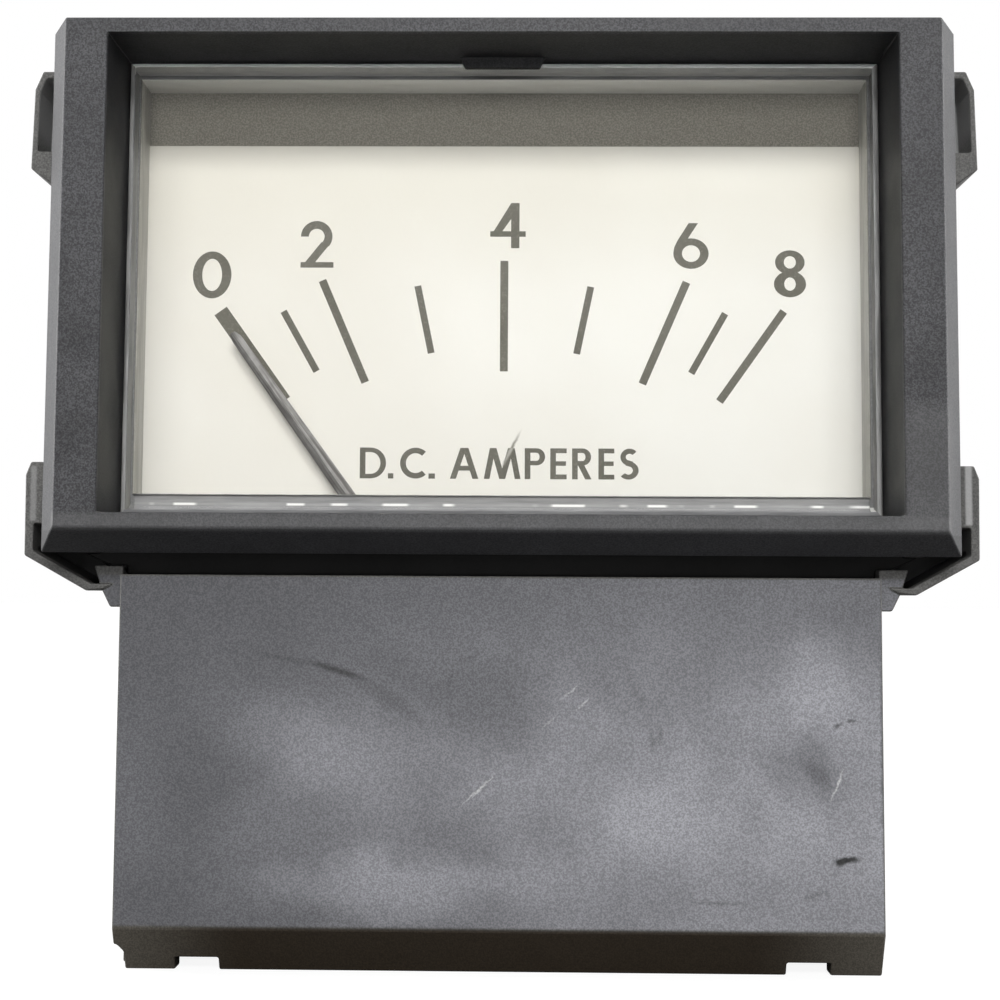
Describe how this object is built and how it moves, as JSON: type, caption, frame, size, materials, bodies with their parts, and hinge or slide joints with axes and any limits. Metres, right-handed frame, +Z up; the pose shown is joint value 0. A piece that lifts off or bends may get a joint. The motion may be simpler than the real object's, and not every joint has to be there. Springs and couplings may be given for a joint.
{
  "type": "analog panel meter",
  "caption": "Snap-in direct-current panel meter: framed window, printed dial, swinging needle, plain lower case and threaded rear terminals.",
  "frame": {"origin": "middle of the bezel, in the plane where the back of its flange meets the panel", "axes": "+X to the right as the dial is read, +Z up, -Y out of the front towards the reader"},
  "size_m": [0.0666, 0.0385, 0.0644],
  "materials": {
    "bezel_plastic": "fine-grained",
    "clear_plastic": "clear, polished",
    "dial_paint": "matt cream paint",
    "case_plastic": "smooth, satin",
    "cover_plastic": "smooth",
    "brass": "machined",
    "plated_steel": "zinc plated",
    "polished_steel": "polished",
    "copper": "rolled copper",
    "magnet_metal": "ground",
    "iron": "soft iron",
    "needle_metal": "dull grey"
  },
  "bodies": {
    "case": {"bezel": "bezel_plastic", "lens": "clear_plastic", "dial_plate": "dial_paint", "dial_screws": "brass", "housing": "case_plastic", "back_cover": "cover_plastic", "cover_screws": "plated_steel", "movement_bracket": "brass", "bracket_screws": "brass", "front_bearing": "brass", "rear_bearing": "brass", "bearing_locknuts": "brass", "stop_pins": "brass", "magnet": "magnet_metal", "conductor_strap": "copper", "terminal_studs": "brass", "fixing_washers": "plated_steel", "fixing_nuts": "brass", "lock_washers": "plated_steel", "terminal_nuts": "brass"},
    "movement": {"pivot_staff": "polished_steel", "pointer": "needle_metal", "pointer_hub": "brass", "balance_weight": "brass", "iron_vane": "iron", "vane_collar": "brass"}
  },
  "joints": [
    {"name": "pointer_swing", "type": "hinge", "parent": "case", "child": "movement", "pos_m": [0, 0.0055, -0.0298], "axis": [0, 1, 0], "range_deg": [-2, 73.5], "stiffness_Nm_per_rad": 0.00002}
  ]
}
